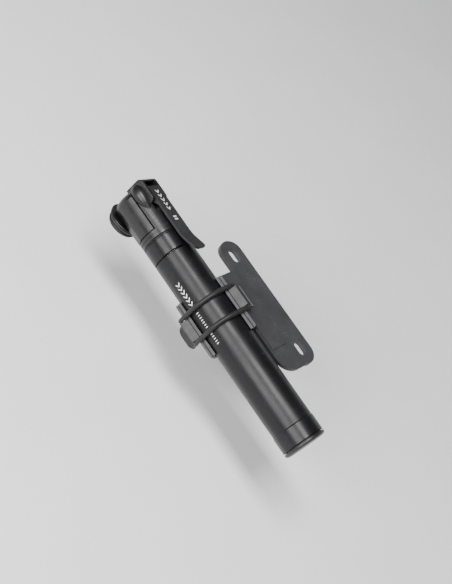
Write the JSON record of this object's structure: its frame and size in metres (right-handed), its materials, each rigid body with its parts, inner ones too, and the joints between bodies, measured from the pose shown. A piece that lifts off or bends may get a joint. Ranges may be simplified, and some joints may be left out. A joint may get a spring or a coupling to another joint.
{
  "type": "bicycle mini pump",
  "caption": "Slim bicycle hand pump with a telescoping handle and thumb-lock lever head, strapped into a C-shaped cradle bracket that bolts under a bottle cage.",
  "frame": {"origin": "centre of the two slotted boss holes, on the bracket face that lies on the bicycle frame", "axes": "+X along the pump towards its head, +Z out of the frame along the boss bolts, +Y towards the side on which the pump hangs"},
  "size_m": [0.1703, 0.0571, 0.039],
  "materials": {
    "bracket_plastic": "fine-grained moulded nylon",
    "strap_rubber": "matte rubber",
    "handle_alloy": "satin black anodised",
    "cap_alloy": "satin black anodised",
    "collar_alloy": "satin black anodised",
    "barrel_alloy": "polished, clear anodised",
    "end_plug_plastic": "satin moulded plastic",
    "head_plastic": "satin moulded plastic",
    "housing_plastic": "satin moulded plastic",
    "lever_plastic": "satin moulded plastic",
    "nut_plastic": "satin moulded plastic",
    "dust_cap_rubber": "matte rubber",
    "plunger_plastic": "natural acetal",
    "internal_plastic": "moulded acetal",
    "seal_rubber": "nitrile rubber",
    "rod_steel": "ground steel",
    "screw_steel": "plated steel",
    "ball_steel": "polished ball",
    "spring_steel": "spring wire"
  },
  "bodies": {
    "bracket": {"bracket": "bracket_plastic"},
    "strap": {"strap": "strap_rubber"},
    "pump_body": {"inner_barrel": "barrel_alloy", "barrel_gland": "internal_plastic", "gland_seal": "seal_rubber", "rod_seal": "seal_rubber", "stop_bumper": "seal_rubber", "barrel_collar": "collar_alloy", "barrel_shim": "seal_rubber", "head_body": "head_plastic", "lever_pin": "screw_steel", "chuck_housing": "housing_plastic", "chuck_nut": "nut_plastic", "chuck_seal": "seal_rubber", "valve_seat": "internal_plastic", "valve_spring": "spring_steel"},
    "slide_carriage": {"piston": "internal_plastic", "piston_seal": "seal_rubber"},
    "handle": {"handle_tube": "handle_alloy", "end_cap": "cap_alloy", "end_plug": "end_plug_plastic", "rod_carrier": "internal_plastic", "rod_end_screw": "screw_steel", "handle_bush": "internal_plastic", "bush_wiper": "seal_rubber", "piston_rod": "rod_steel", "piston_screw": "screw_steel", "piston_washer": "screw_steel"},
    "lever": {"lever": "lever_plastic"},
    "plunger": {"plunger": "plunger_plastic", "plunger_seal": "seal_rubber"},
    "dust_cap": {"dust_cap": "dust_cap_rubber"},
    "check_ball": {"check_ball": "ball_steel"}
  },
  "joints": [
    {"name": "strap_unhook", "type": "hinge", "parent": "bracket", "child": "strap", "pos_m": [0.0068, 0.02105, 0.00924], "axis": [1, 0, 0], "range_deg": [0, 95], "deforming": ["strap"]},
    {"name": "pump_removal", "type": "slide", "parent": "bracket", "child": "pump_body", "axis": [1, 0, 0], "range_m": [0, 0.105]},
    {"name": "handle_stroke", "type": "slide", "parent": "pump_body", "child": "slide_carriage", "axis": [-1, 0, 0], "range_m": [0, 0.093]},
    {"name": "handle_spin", "type": "hinge", "parent": "slide_carriage", "child": "handle", "pos_m": [0, 0.033, -0.0032], "axis": [1, 0, 0], "continuous": true},
    {"name": "lever_lift", "type": "hinge", "parent": "pump_body", "child": "lever", "pos_m": [0.0814, 0.03067, 0.00549], "axis": [0, 0.9659, 0.2588], "range_deg": [0, 90]},
    {"name": "plunger_press", "type": "slide", "parent": "pump_body", "child": "plunger", "axis": [0, 0.2588, -0.9659], "range_m": [0, 0.0021], "deforming": ["chuck_seal"]},
    {"name": "dust_cap_pull", "type": "slide", "parent": "pump_body", "child": "dust_cap", "axis": [0, 0.2588, -0.9659], "range_m": [0, 0.04]},
    {"name": "check_valve_lift", "type": "slide", "parent": "pump_body", "child": "check_ball", "axis": [1, 0, 0], "range_m": [0, 0.0008], "stiffness_N_per_m": 150, "deforming": ["valve_spring"]}
  ],
  "couplings": [
    {"joint": "plunger_press", "follows": "lever_lift", "m_per_rad": 0.0012732}
  ]
}
